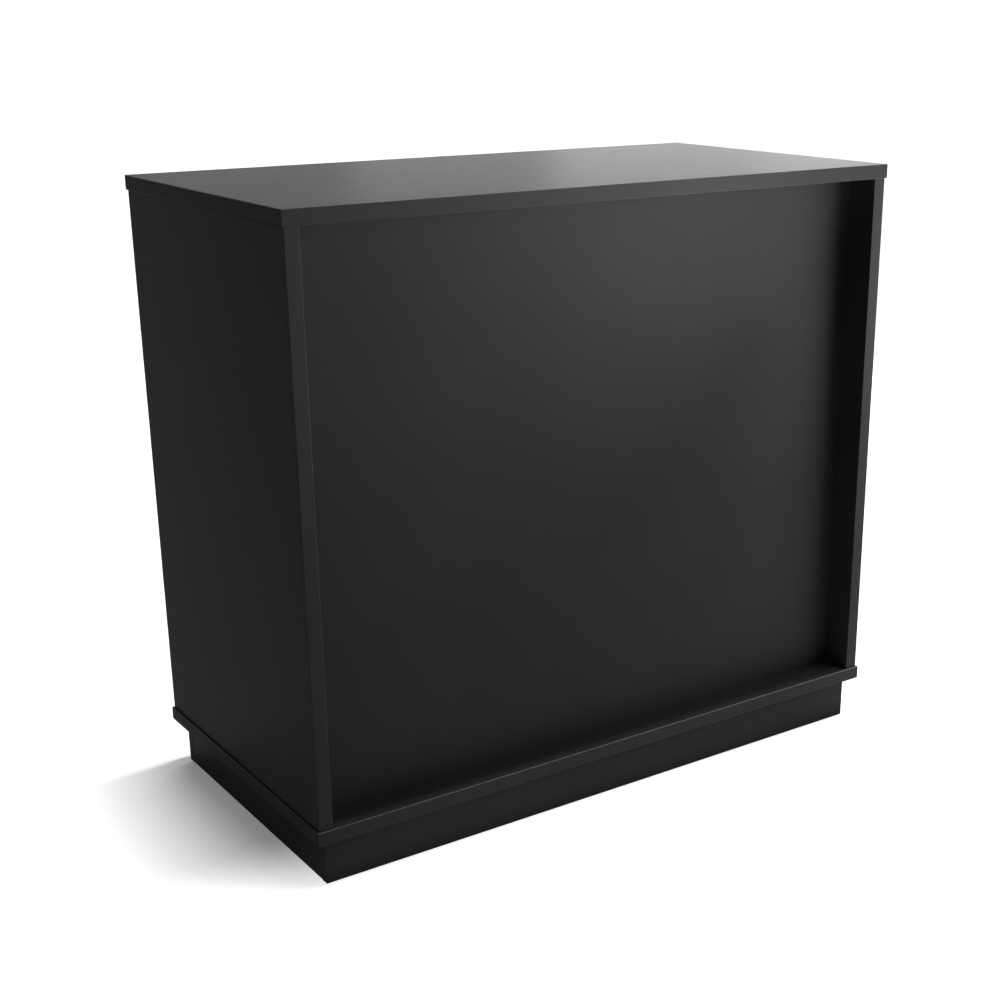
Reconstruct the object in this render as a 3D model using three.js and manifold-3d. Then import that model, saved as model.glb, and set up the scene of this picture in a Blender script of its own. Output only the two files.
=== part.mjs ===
// Folding portable bar in black faced board: a counter top that lifts off, a front panel with two
// hinged sides that fold flat behind it, and a deck on a recessed plinth.
// Millimetres, +Z up, the front faces -Y, and the origin is on the floor under the middle of the bar.

import * as THREE from 'three';
import { mergeVertices } from 'three/addons/utils/BufferGeometryUtils.js';
import Module from 'manifold-3d';

const wasm = await Module();
wasm.setup();

// Carcass: the outline of the three hinged panels
const bodyWidth = 1195;
const bodyDepth = 605;
const panelHeight = 960;
const sideThickness = 25;
const frontThickness = 18;
const frontRecess = 62;

// Counter top and deck, which stand out past the carcass all round
const topThickness = 25;
const topOverhang = 2.5;
const deckThickness = 25;
const deckOverhang = 3.5;

// Plinth frame under the deck
const plinthHeight = 82;
const plinthThickness = 18;
const plinthSetback = 20;
const blockLeg = 60;
const glideDiameter = 24;
const glideThickness = 3;
const glideRimEase = 1;

// Eased edges of the boards
const boardEase = 1.2;
const easeSteps = 2;

// Butt hinges in the inside corners
const hingeLength = 100;
const hingeEndInset = 130;
const leafWidth = 34;
const leafThickness = 2;
const knuckleDiameter = 9;
const knuckleCount = 5;
const knuckleGap = 0.4;
const pinDiameter = 5;
const pinHeadDiameter = 7;
const pinHeadHeight = 1.6;
const screwHoleDiameter = 4.5;
const countersinkDiameter = 8.5;
const screwHoleInset = 14;

// Dowels that locate the front panel on the deck and the top on the front panel
const dowelDiameter = 10;
const dowelEmbed = 28;
const dowelStandOut = 14;
const dowelTaper = 2;
const dowelEndInset = 120;

// Magnets and strike plates that hold the sides square
const magnetDiameter = 16;
const magnetThickness = 4;
const strikeThickness = 2;
const magnetRearInset = 45;

// Clearances: seated faces, running ends of the front panel, and flush discs below their face
const seatGap = 0.3;
const endGap = 0.5;
const discSink = 0.2;

// Facets round a full circle
const roundSides = 16;

// Finishes
const blackBoard = new THREE.MeshStandardMaterial({ color: 0x242425, roughness: 0.5, metalness: 0 });
const rawBoard = new THREE.MeshStandardMaterial({ color: 0x9a7f5c, roughness: 0.8, metalness: 0 });
const hingeSteel = new THREE.MeshStandardMaterial({ color: 0x8f9194, roughness: 0.35, metalness: 1 });
const pinSteel = new THREE.MeshStandardMaterial({ color: 0xa6a8ab, roughness: 0.28, metalness: 1 });
const magnetNickel = new THREE.MeshStandardMaterial({ color: 0xb4b4b0, roughness: 0.22, metalness: 1 });
const strikeSteel = new THREE.MeshStandardMaterial({ color: 0x85878a, roughness: 0.4, metalness: 1 });
const dowelBeech = new THREE.MeshStandardMaterial({ color: 0xc59a68, roughness: 0.6, metalness: 0 });
const glideNylon = new THREE.MeshStandardMaterial({ color: 0x1b1b1c, roughness: 0.55, metalness: 0 });

// Levels from the floor up
const plinthBottom = glideThickness + seatGap;
const deckBottom = plinthBottom + plinthHeight + seatGap;
const deckTop = deckBottom + deckThickness;
const panelBottom = deckTop + seatGap;
const panelTop = panelBottom + panelHeight;
const counterBottom = panelTop + seatGap;
const panelMiddle = (panelBottom + panelTop) / 2;

// Plan lines
const sideInnerX = bodyWidth / 2 - sideThickness;
const sideMiddleX = bodyWidth / 2 - sideThickness / 2;
const frontFaceY = -bodyDepth / 2 + frontRecess;
const frontBackY = frontFaceY + frontThickness;
const frontMiddleY = (frontFaceY + frontBackY) / 2;
const frontWidth = 2 * (sideInnerX - endGap);
const plinthWidth = bodyWidth + 2 * (deckOverhang - plinthSetback);
const plinthDepth = bodyDepth + 2 * (deckOverhang - plinthSetback);
const magnetY = bodyDepth / 2 - magnetRearInset;
const knuckleRadius = knuckleDiameter / 2;
const hingeAxisOffset = knuckleRadius + seatGap;
const hingeAxisX = sideInnerX - hingeAxisOffset;
const hingeAxisY = frontBackY + hingeAxisOffset;

const LEFT_RIGHT = [['left', -1], ['right', 1]];
const FRONT_REAR = [['front', -1], ['rear', 1]];

// A closed three.js shape as a solid that can be joined and cut
function solidOf(geometry) {
  const bare = geometry.clone();
  bare.deleteAttribute('normal');
  bare.deleteAttribute('uv');
  const merged = mergeVertices(bare);
  return new wasm.Manifold(new wasm.Mesh({
    numProp: 3,
    vertProperties: new Float32Array(merged.attributes.position.array),
    triVerts: new Uint32Array(merged.index.array),
  }));
}

// A joined or cut solid back as a flat-shaded three.js shape
function geometryOf(solid) {
  const mesh = solid.getMesh();
  const indexed = new THREE.BufferGeometry();
  indexed.setAttribute('position', new THREE.BufferAttribute(mesh.vertProperties, mesh.numProp));
  indexed.setIndex(new THREE.BufferAttribute(mesh.triVerts, 1));
  const flat = indexed.toNonIndexed();
  flat.computeVertexNormals();
  return flat;
}

// One shape with others cut out of it
function cut(geometry, cutters) {
  let solid = solidOf(geometry);
  for (const cutter of cutters) {
    solid = solid.subtract(solidOf(cutter));
  }
  return geometryOf(solid);
}

// A named sub-part, added to its group
function place(group, name, geometry, material, x, y, z) {
  const mesh = new THREE.Mesh(geometry, material);
  mesh.name = name;
  mesh.position.set(x, y, z);
  group.add(mesh);
  return mesh;
}

// A circle's facets stand inside it, so a hole round a faceted pin is drawn wider by this much
function holeRadius(diameter) {
  return (diameter / 2 + seatGap) / Math.cos(Math.PI / roundSides);
}

// An upright round cutter, centred on its own middle
function roundCutter(radius, height, x, y, z) {
  const cylinder = new THREE.CylinderGeometry(radius, radius, height, roundSides);
  return cylinder.rotateX(Math.PI / 2).translate(x, y, z);
}

// A blind hole sunk into the face at a height
function blindHole(diameter, depth, x, y, faceZ) {
  return roundCutter(holeRadius(diameter), 2 * depth, x, y, faceZ);
}

// A board centred on the origin: drawn flat, drawn out to its thickness, with both arrises eased
const THICKNESS_AXES = {
  x: [new THREE.Vector3(0, 1, 0), new THREE.Vector3(0, 0, 1), new THREE.Vector3(1, 0, 0)],
  y: [new THREE.Vector3(0, 0, 1), new THREE.Vector3(1, 0, 0), new THREE.Vector3(0, 1, 0)],
  z: [new THREE.Vector3(1, 0, 0), new THREE.Vector3(0, 1, 0), new THREE.Vector3(0, 0, 1)],
};

function board(length, width, thickness, thicknessAxis) {
  const outline = new THREE.Shape();
  outline.moveTo(-length / 2, -width / 2);
  outline.lineTo(length / 2, -width / 2);
  outline.lineTo(length / 2, width / 2);
  outline.lineTo(-length / 2, width / 2);
  outline.closePath();
  const core = thickness - 2 * boardEase;
  const drawn = new THREE.ExtrudeGeometry(outline, {
    depth: core,
    bevelEnabled: true,
    bevelThickness: boardEase,
    bevelSize: boardEase,
    bevelOffset: -boardEase,
    bevelSegments: easeSteps,
  });
  drawn.translate(0, 0, -core / 2);
  return drawn.applyMatrix4(new THREE.Matrix4().makeBasis(...THICKNESS_AXES[thicknessAxis]));
}

// A piece turned on the lathe about +Z, from [radius, height] pairs that start and end on the axis
function turned(profile) {
  const points = profile.map(([radius, height]) => new THREE.Vector2(radius, height));
  return new THREE.LatheGeometry(points, roundSides).rotateX(Math.PI / 2);
}

// A flat round disc with its lower face at height 0
function disc(diameter, thickness) {
  const radius = diameter / 2;
  return turned([[0, 0], [radius, 0], [radius, thickness], [0, thickness]]);
}

// Dowel positions along the front panel
const dowelReach = frontWidth / 2 - dowelEndInset;
const DOWEL_PLACES = [['left', -dowelReach], ['middle', 0], ['right', dowelReach]];

// Deck on its plinth
function makeBase() {
  const base = new THREE.Group();
  const deckCutters = DOWEL_PLACES.map(
    ([, x]) => blindHole(dowelDiameter, dowelStandOut + seatGap, x, frontMiddleY, deckThickness / 2),
  );
  for (const [, sign] of LEFT_RIGHT) {
    const pocket = magnetThickness + discSink + seatGap;
    deckCutters.push(blindHole(magnetDiameter, pocket, sign * sideMiddleX, magnetY, deckThickness / 2));
  }
  const deck = board(bodyWidth + 2 * deckOverhang, bodyDepth + 2 * deckOverhang, deckThickness, 'z');
  place(base, 'deck_panel', cut(deck, deckCutters), blackBoard, 0, 0, deckBottom + deckThickness / 2);

  const plinthMiddle = plinthBottom + plinthHeight / 2;
  const innerDepth = plinthDepth - 2 * plinthThickness - 2 * seatGap;
  for (const [end, sign] of FRONT_REAR) {
    const plank = board(plinthHeight, plinthWidth, plinthThickness, 'y');
    const y = sign * (plinthDepth - plinthThickness) / 2;
    place(base, `plinth_${end}_board`, plank, blackBoard, 0, y, plinthMiddle);
  }
  for (const [side, sign] of LEFT_RIGHT) {
    const plank = board(innerDepth, plinthHeight, plinthThickness, 'x');
    const x = sign * (plinthWidth - plinthThickness) / 2;
    place(base, `plinth_${side}_board`, plank, blackBoard, x, 0, plinthMiddle);
    const magnetZ = deckTop - discSink - magnetThickness;
    const magnet = disc(magnetDiameter, magnetThickness);
    place(base, `deck_magnet_${side}`, magnet, magnetNickel, sign * sideMiddleX, magnetY, magnetZ);
  }
  const rail = board(innerDepth, plinthHeight, plinthThickness, 'x');
  place(base, 'plinth_mid_rail', rail, rawBoard, 0, 0, plinthMiddle);

  for (const [end, signY] of FRONT_REAR) {
    for (const [side, signX] of LEFT_RIGHT) {
      makeCorner(base, `${end}_${side}`, signX, signY);
    }
  }
  return base;
}

// A three-cornered glue block in a corner of the plinth, with a glide under it
function makeCorner(base, corner, signX, signY) {
  const cornerX = signX * (plinthWidth / 2 - plinthThickness - seatGap);
  const cornerY = signY * (plinthDepth / 2 - plinthThickness - seatGap);
  const outline = new THREE.Shape();
  outline.moveTo(0, 0);
  outline.lineTo(-signX * blockLeg, 0);
  outline.lineTo(0, -signY * blockLeg);
  outline.closePath();
  const block = new THREE.ExtrudeGeometry(outline, { depth: plinthHeight, bevelEnabled: false });
  place(base, `corner_block_${corner}`, block, rawBoard, cornerX, cornerY, plinthBottom);

  const inset = blockLeg * (1 - Math.SQRT1_2);
  const radius = glideDiameter / 2;
  const glide = turned([
    [0, 0],
    [radius - glideRimEase, 0],
    [radius, glideRimEase],
    [radius, glideThickness],
    [0, glideThickness],
  ]);
  const glideX = cornerX - signX * inset;
  const glideY = cornerY - signY * inset;
  place(base, `glide_${corner}`, glide, glideNylon, glideX, glideY, 0);
}

// Knuckles of the two leaves by turns along the hinge, with the fixed leaf at both ends
const knucklePitch = hingeLength / knuckleCount;
const KNUCKLES = Array.from({ length: knuckleCount }, (_, index) => index);
const FIXED_KNUCKLES = KNUCKLES.filter((index) => index % 2 === 0);
const MOVING_KNUCKLES = KNUCKLES.filter((index) => index % 2 === 1);

// Section of a knuckle and the tongue that rolls into it, with the bore for the pin
function knuckleProfile(tongueLength) {
  const boreRadius = holeRadius(pinDiameter);
  const innerFace = leafThickness - knuckleRadius;
  const meet = Math.asin(innerFace / knuckleRadius);
  const outline = new THREE.Shape();
  outline.moveTo(tongueLength, -knuckleRadius);
  outline.lineTo(tongueLength, innerFace);
  outline.absarc(0, 0, knuckleRadius, meet, 1.5 * Math.PI, false);
  outline.closePath();
  const bore = new THREE.Path();
  bore.absarc(0, 0, boreRadius, 0, 2 * Math.PI, true);
  outline.holes.push(bore);
  return outline;
}

// A hinge leaf round its axis: the leaf runs along +X and its board lies towards -Y
function hingeLeaf(knuckles) {
  const plateStart = knuckleRadius + knuckleGap;
  const plateWidth = leafWidth - plateStart;
  const plateMiddle = (plateStart + leafWidth) / 2;
  const plateY = leafThickness / 2 - knuckleRadius;
  const plate = new THREE.BoxGeometry(plateWidth, leafThickness, hingeLength);
  let leaf = solidOf(plate.translate(plateMiddle, plateY, 0));

  const profile = knuckleProfile(plateMiddle);
  for (const index of knuckles) {
    const knuckle = new THREE.ExtrudeGeometry(profile, {
      depth: knucklePitch - knuckleGap,
      bevelEnabled: false,
      curveSegments: roundSides / 2,
    });
    const z = -hingeLength / 2 + index * knucklePitch + knuckleGap / 2;
    leaf = leaf.add(solidOf(knuckle.translate(0, 0, z)));
  }

  const holeReach = hingeLength / 2 - screwHoleInset;
  for (const z of [-holeReach, 0, holeReach]) {
    leaf = leaf.subtract(solidOf(screwHole().translate(plateMiddle, -knuckleRadius, z)));
  }
  return geometryOf(leaf);
}

// A countersunk screw hole along +Y, from below the leaf to above it
function screwHole() {
  const bore = screwHoleDiameter / 2;
  const rim = countersinkDiameter / 2;
  const past = leafThickness / 2;
  const coneFoot = leafThickness - (rim - bore);
  const profile = [[0, -past], [bore, -past], [bore, Math.max(coneFoot, 0)]];
  profile.push([rim, leafThickness], [rim, leafThickness + past], [0, leafThickness + past]);
  const points = profile.map(([radius, height]) => new THREE.Vector2(radius, height));
  return new THREE.LatheGeometry(points, roundSides);
}

// A hinge pin with a button head at each end
function hingePin() {
  const radius = pinDiameter / 2;
  const head = pinHeadDiameter / 2;
  const half = hingeLength / 2;
  const neck = half - knuckleGap / 2 + seatGap;
  const crown = neck + pinHeadHeight;
  return turned([
    [0, -crown],
    [radius, -crown],
    [head, -neck - pinHeadHeight / 2],
    [head, -neck],
    [radius, -neck],
    [radius, neck],
    [head, neck],
    [head, neck + pinHeadHeight / 2],
    [radius, crown],
    [0, crown],
  ]);
}

// Heights of the hinges on each side
const hingeReach = panelHeight / 2 - hingeEndInset;
const HINGE_PLACES = [
  ['lower', panelMiddle - hingeReach],
  ['middle', panelMiddle],
  ['upper', panelMiddle + hingeReach],
];

// Front panel with its dowels, fixed hinge leaves and hinge pins
function makeFront() {
  const front = new THREE.Group();
  const cutters = [];
  for (const [, x] of DOWEL_PLACES) {
    for (const end of [-1, 1]) {
      cutters.push(blindHole(dowelDiameter, dowelEmbed + seatGap, x, 0, end * panelHeight / 2));
    }
  }
  const panel = cut(board(panelHeight, frontWidth, frontThickness, 'y'), cutters);
  place(front, 'front_panel', panel, blackBoard, 0, frontMiddleY, panelMiddle);

  const radius = dowelDiameter / 2;
  const dowel = turned([
    [0, -dowelEmbed],
    [radius, -dowelEmbed],
    [radius, dowelStandOut - dowelTaper],
    [radius - dowelTaper, dowelStandOut],
    [0, dowelStandOut],
  ]);
  for (const [where, x] of DOWEL_PLACES) {
    place(front, `top_dowel_${where}`, dowel, dowelBeech, x, frontMiddleY, panelTop);
    const lower = place(front, `base_dowel_${where}`, dowel, dowelBeech, x, frontMiddleY, panelBottom);
    lower.rotation.x = Math.PI;
  }

  const leaf = hingeLeaf(FIXED_KNUCKLES);
  const pin = hingePin();
  for (const [side, sign] of LEFT_RIGHT) {
    for (const [level, z] of HINGE_PLACES) {
      const hinge = `${side}_hinge_${level}`;
      const x = sign * hingeAxisX;
      const fixed = place(front, `${hinge}_fixed_leaf`, leaf, hingeSteel, x, hingeAxisY, z);
      fixed.rotation.y = sign > 0 ? Math.PI : 0;
      place(front, `${hinge}_pin`, pin, pinSteel, x, hingeAxisY, z);
    }
  }
  return front;
}

// A side with its moving hinge leaves, the strike plate under it and the magnet on top of it
function makeSide(side, sign) {
  const group = new THREE.Group();
  const strikePocket = strikeThickness + discSink + seatGap;
  const magnetPocket = magnetThickness + discSink + seatGap;
  const panel = cut(board(bodyDepth, panelHeight, sideThickness, 'x'), [
    blindHole(magnetDiameter, strikePocket, 0, magnetY, -panelHeight / 2),
    blindHole(magnetDiameter, magnetPocket, 0, magnetY, panelHeight / 2),
  ]);
  const x = sign * sideMiddleX;
  place(group, `${side}_side_panel`, panel, blackBoard, x, 0, panelMiddle);

  const strike = disc(magnetDiameter, strikeThickness);
  place(group, `${side}_side_strike_plate`, strike, strikeSteel, x, magnetY, panelBottom + discSink);
  const magnet = disc(magnetDiameter, magnetThickness);
  const magnetZ = panelTop - discSink - magnetThickness;
  place(group, `${side}_side_magnet`, magnet, magnetNickel, x, magnetY, magnetZ);

  // The moving leaf runs to the rear, with its back to the side
  const leaf = hingeLeaf(MOVING_KNUCKLES);
  for (const [level, z] of HINGE_PLACES) {
    const name = `${side}_hinge_${level}_moving_leaf`;
    const moving = place(group, name, leaf, hingeSteel, sign * hingeAxisX, hingeAxisY, z);
    moving.rotation.set(sign < 0 ? Math.PI : 0, 0, sign * Math.PI / 2);
  }
  return group;
}

// Counter top with the strike plates let into its underside
function makeTop() {
  const top = new THREE.Group();
  const cutters = DOWEL_PLACES.map(
    ([, x]) => blindHole(dowelDiameter, dowelStandOut + seatGap, x, frontMiddleY, -topThickness / 2),
  );
  const strikePocket = strikeThickness + discSink + seatGap;
  for (const [side, sign] of LEFT_RIGHT) {
    cutters.push(blindHole(magnetDiameter, strikePocket, sign * sideMiddleX, magnetY, -topThickness / 2));
    const strike = disc(magnetDiameter, strikeThickness);
    const z = counterBottom + discSink;
    place(top, `top_strike_plate_${side}`, strike, strikeSteel, sign * sideMiddleX, magnetY, z);
  }
  const slab = board(bodyWidth + 2 * topOverhang, bodyDepth + 2 * topOverhang, topThickness, 'z');
  place(top, 'counter_top', cut(slab, cutters), blackBoard, 0, 0, counterBottom + topThickness / 2);
  return top;
}

const bar = new THREE.Group();
bar.add(makeBase());
bar.add(makeFront());
for (const [side, sign] of LEFT_RIGHT) {
  bar.add(makeSide(side, sign));
}
bar.add(makeTop());

export default bar;
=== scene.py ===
# %% [markdown]
# # A folding portable bar in black faced board
# The bar is a flat-pack counter: a loose top, a front panel with two hinged sides, and a deck on a plinth.
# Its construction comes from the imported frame, piece by piece, and this lesson adds the finishes, the small
# hardware and the studio around it. All sizes are in metres, and every piece sits at the origin with its
# place in its mesh, so that a pattern on Object coordinates stays put when a side folds.

# %% Load the frame
import math

import bmesh
import bpy
from mathutils import Matrix, Vector


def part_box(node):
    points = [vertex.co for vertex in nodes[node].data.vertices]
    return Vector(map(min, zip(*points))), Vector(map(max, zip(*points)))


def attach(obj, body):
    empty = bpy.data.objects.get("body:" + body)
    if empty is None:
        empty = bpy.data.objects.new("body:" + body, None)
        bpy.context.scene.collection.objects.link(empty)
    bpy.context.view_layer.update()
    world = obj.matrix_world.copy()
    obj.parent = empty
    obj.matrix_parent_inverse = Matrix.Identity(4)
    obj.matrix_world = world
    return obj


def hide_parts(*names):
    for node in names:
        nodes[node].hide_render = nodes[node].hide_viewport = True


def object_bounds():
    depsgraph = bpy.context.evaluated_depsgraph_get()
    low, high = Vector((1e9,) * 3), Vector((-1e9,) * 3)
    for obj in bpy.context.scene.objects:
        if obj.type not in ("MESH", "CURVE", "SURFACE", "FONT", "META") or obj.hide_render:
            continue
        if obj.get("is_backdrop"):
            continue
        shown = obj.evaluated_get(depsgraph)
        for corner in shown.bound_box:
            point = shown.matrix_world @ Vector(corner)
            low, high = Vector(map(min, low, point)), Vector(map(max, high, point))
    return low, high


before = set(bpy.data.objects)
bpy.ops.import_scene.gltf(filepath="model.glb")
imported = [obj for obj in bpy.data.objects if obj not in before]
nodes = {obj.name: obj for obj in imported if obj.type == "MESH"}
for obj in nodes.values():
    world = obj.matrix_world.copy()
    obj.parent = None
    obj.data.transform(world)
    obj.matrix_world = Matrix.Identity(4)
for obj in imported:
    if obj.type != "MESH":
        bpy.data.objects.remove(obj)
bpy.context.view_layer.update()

# %% [markdown]
# ## Camera
# The bar is seen from its front left corner, a little above the top. A camera can be placed by eye or
# worked out from the picture: here its place, aim and lens were fitted to the corners of the bar, with
# the image taken as a square. The small shift stands for a picture that was cropped off-centre. More of
# it would fit the rear corners better, but would push the bar out of the frame when it is seen from other
# sides.

# %% Camera
CAMERA_PLACE = Vector((-1.586, -2.416, 1.363))
CAMERA_AIM = Vector((-0.085, -0.305, 0.464))
LENS_MM = 57.74
SENSOR_MM = 36.0
FRAME_SHIFT = (-0.08, 0.065)

camera_data = bpy.data.cameras.new("camera")
camera_data.lens = LENS_MM
camera_data.sensor_width = SENSOR_MM
camera_data.sensor_fit = "HORIZONTAL"
camera_data.shift_x, camera_data.shift_y = FRAME_SHIFT
camera = bpy.data.objects.new("camera", camera_data)
camera.location = CAMERA_PLACE
camera.rotation_euler = (CAMERA_AIM - CAMERA_PLACE).to_track_quat("-Z", "Y").to_euler()
bpy.context.scene.collection.objects.link(camera)
bpy.context.scene.camera = camera
bpy.context.scene.view_settings.view_transform = "Standard"
print(f"camera {(CAMERA_AIM - CAMERA_PLACE).length:.2f} m from its aim")

# %% [markdown]
# ## Node helpers
# Every finish below is a small node tree. Two helpers keep those trees readable: one adds a node and sets
# its inputs, the other wires an output to an input.


# %% Node helpers
def add_node(tree, kind, **inputs):
    """A node of a tree, with its unlinked inputs set by name, underscores standing for spaces."""
    node = tree.nodes.new(kind)
    for name, value in inputs.items():
        node.inputs[name.replace("_", " ")].default_value = value
    return node


def wire(tree, source, target):
    """Joins an output socket to an input socket."""
    tree.links.new(source, target)


print(f"node helpers: {add_node.__name__} and {wire.__name__}")

# %% [markdown]
# ## Studio
# The picture has a white ground with one soft shadow at the left. The world is white where the camera
# sees it, looks through to it or sees it mirrored, and only a dim dome where it lights, so that the
# recess in front of the panel stays as dark as it is on a real black bar.

# %% World
DOME_LEVEL = 0.12
WHITE = (1, 1, 1, 1)


def background_rays(tree):
    """The rays that show the background as it is: seen, mirrored or looked through."""
    path = add_node(tree, "ShaderNodeLightPath")
    direct = add_node(tree, "ShaderNodeMath")
    direct.operation = "MAXIMUM"
    wire(tree, path.outputs["Is Camera Ray"], direct.inputs[0])
    wire(tree, path.outputs["Is Glossy Ray"], direct.inputs[1])
    shown = add_node(tree, "ShaderNodeMath")
    shown.operation = "MAXIMUM"
    wire(tree, direct.outputs["Value"], shown.inputs[0])
    wire(tree, path.outputs["Is Transmission Ray"], shown.inputs[1])
    return shown.outputs["Value"]


world = bpy.data.worlds.new("studio")
bpy.context.scene.world = world
world.use_nodes = True
dome = world.node_tree
dome.nodes.clear()
soft_light = add_node(dome, "ShaderNodeBackground", Color=WHITE, Strength=DOME_LEVEL)
white_ground = add_node(dome, "ShaderNodeBackground", Color=WHITE, Strength=1.0)
pick = add_node(dome, "ShaderNodeMixShader")
wire(dome, background_rays(dome), pick.inputs["Fac"])
wire(dome, soft_light.outputs["Background"], pick.inputs[1])
wire(dome, white_ground.outputs["Background"], pick.inputs[2])
world_output = add_node(dome, "ShaderNodeOutputWorld")
wire(dome, pick.outputs["Shader"], world_output.inputs["Surface"])
print(f"world: white where it is seen, a dome of {DOME_LEVEL} where it lights")

# %% [markdown]
# ### Floor
# The floor is a plain pale sheet. It is white in the light and keeps the shadow, with a little glow of
# its own to the camera, as a white sweep in a bright room has. In front of the bar the glow is stronger:
# painted light that lifts the bar's shadow there. What it throws back at the bar is less than what it
# shows, because the light that a real sweep returns would flatten the black.

# %% Floor sheet
FLOOR_HALF = 12.0

floor_mesh = bpy.data.meshes.new("floor")
floor_mesh.from_pydata(
    [(x * FLOOR_HALF, y * FLOOR_HALF, 0) for x, y in ((-1, -1), (1, -1), (1, 1), (-1, 1))],
    [],
    [(0, 1, 2, 3)],
)
floor = bpy.data.objects.new("floor", floor_mesh)
bpy.context.scene.collection.objects.link(floor)
floor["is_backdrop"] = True
print(f"floor {2 * FLOOR_HALF:.0f} m wide")

# %% Floor paint
FLOOR_SEEN = 0.85
FLOOR_BOUNCE = 0.20
FLOOR_GLOW = 0.17
# The stronger glow in front of the bar is painted light, which lifts the bar's shadow there.
FRONT_PAINTED_LIGHT = 0.85
FRONT_PAINTED_LIGHT_STARTS = -0.07
FRONT_PAINTED_LIGHT_FULL = -0.34

floor_paint = bpy.data.materials.new("white_floor")
floor_paint.use_nodes = True
tree = floor_paint.node_tree
tree.nodes.clear()
seen = background_rays(tree)
tone = add_node(tree, "ShaderNodeMapRange", To_Min=FLOOR_BOUNCE, To_Max=FLOOR_SEEN)
wire(tree, seen, tone.inputs["Value"])
matt = add_node(tree, "ShaderNodeBsdfDiffuse")
wire(tree, tone.outputs["Result"], matt.inputs["Color"])
floor_place = add_node(tree, "ShaderNodeTexCoord")
across = add_node(tree, "ShaderNodeSeparateXYZ")
wire(tree, floor_place.outputs["Object"], across.inputs["Vector"])
# The even glow, rising to painted light in front of the bar that lifts its shadow there.
glow_with_painted_light = add_node(tree, "ShaderNodeMapRange", To_Min=FLOOR_GLOW, To_Max=FRONT_PAINTED_LIGHT)
glow_with_painted_light.interpolation_type = "SMOOTHSTEP"
glow_with_painted_light.inputs["From Min"].default_value = FRONT_PAINTED_LIGHT_STARTS
glow_with_painted_light.inputs["From Max"].default_value = FRONT_PAINTED_LIGHT_FULL
wire(tree, across.outputs["Y"], glow_with_painted_light.inputs["Value"])
lift_level = add_node(tree, "ShaderNodeMath")
lift_level.operation = "MULTIPLY"
wire(tree, seen, lift_level.inputs[0])
wire(tree, glow_with_painted_light.outputs["Result"], lift_level.inputs[1])
lift = add_node(tree, "ShaderNodeEmission", Color=WHITE)
wire(tree, lift_level.outputs["Value"], lift.inputs["Strength"])
both = add_node(tree, "ShaderNodeAddShader")
wire(tree, matt.outputs["BSDF"], both.inputs[0])
wire(tree, lift.outputs["Emission"], both.inputs[1])
floor_output = add_node(tree, "ShaderNodeOutputMaterial")
wire(tree, both.outputs["Shader"], floor_output.inputs["Surface"])
floor_mesh.materials.append(floor_paint)
print(f"floor seen as {FLOOR_SEEN} and bouncing {FLOOR_BOUNCE}")

# %% [markdown]
# ### Lamps
# A row of narrow suns stands for a long strip light under the ceiling. It runs from the middle to the
# right, so the shadow falls to the left and fades along the strip, while the deck's ledge, which lies
# under the top, gets none of it. One wide sun would be simpler, but would light the ledge from the front.

# %% Ceiling strip
# The tilts and the spread are in degrees.
CEILING_TILTS = (1.5, 4.1, 6.7, 9.3, 11.9)
CEILING_LEVEL = 0.66
CEILING_SPREAD = 3.6


def turn_towards(lamp, place, aim):
    """Puts a lamp at a place and turns it to its aim, unseen by the camera."""
    lamp.location = place
    lamp.rotation_euler = (Vector(aim) - Vector(place)).to_track_quat("-Z", "Y").to_euler()
    lamp.visible_camera = False
    bpy.context.scene.collection.objects.link(lamp)


for index, tilt in enumerate(CEILING_TILTS):
    data = bpy.data.lights.new(f"ceiling_{index}", "SUN")
    data.energy = CEILING_LEVEL
    data.angle = math.radians(CEILING_SPREAD)
    high_place = (math.tan(math.radians(tilt)), 0, 1)
    turn_towards(bpy.data.objects.new(data.name, data), high_place, (0, 0, 0))
print(f"ceiling strip of {len(CEILING_TILTS)} suns")

# %% [markdown]
# The key and the fill stand close at the front right and are turned up and across the bar, so the panel
# is brightest at its upper right and fades evenly. Two sheets of light on the floor do what a white sweep
# does: they lift the front from below, except at the foot of the panel, which the ledge hides from them.
# The back softbox is for the other side, where the hinges are.

# %% Softboxes
KEY_PLACE = (1.18, -1.13, 0.79)
KEY_AIM = (-0.39, -0.73, 1.98)
FILL_PLACE = (0.25, -0.92, 1.10)
FILL_AIM = (-0.96, -0.09, 2.46)
SWEEP_LEVEL = 0.01
SWEEP_MIDDLE = -0.655
SWEEP_DEPTH = 0.69
SWEEP_AIM_Y = -0.600
SWEEP_AIM_HEIGHT = 2.0
BACK_PLACE = (0.7, 1.7, 0.6)
BACK_AIM = (0.35, 0.3, 3.7)


def softbox(name, place, aim, width, height, watts):
    """A rectangular studio lamp that looks from its place to its aim."""
    data = bpy.data.lights.new(name, "AREA")
    data.shape = "RECTANGLE"
    data.size = width
    data.size_y = height
    data.energy = watts
    turn_towards(bpy.data.objects.new(name, data), place, aim)


def sweep_sheet(name, x, width, watts):
    """A sheet of light on the floor in front of the bar, that looks up and leans a little to the bar."""
    aim = (x, SWEEP_AIM_Y, SWEEP_AIM_HEIGHT)
    softbox(name, (x, SWEEP_MIDDLE, SWEEP_LEVEL), aim, width, SWEEP_DEPTH, watts)


softbox("key", KEY_PLACE, KEY_AIM, width=1.14, height=0.50, watts=40)
softbox("fill", FILL_PLACE, FILL_AIM, width=0.68, height=0.68, watts=11.5)
sweep_sheet("sweep_right", x=1.085, width=1.03, watts=5.1)
sweep_sheet("sweep_front", x=-0.015, width=1.17, watts=1.85)
softbox("back", BACK_PLACE, BACK_AIM, width=1.9, height=0.9, watts=90)
print(f"{sum(light.type == 'AREA' for light in bpy.data.lights)} softboxes round the bar")

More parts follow.
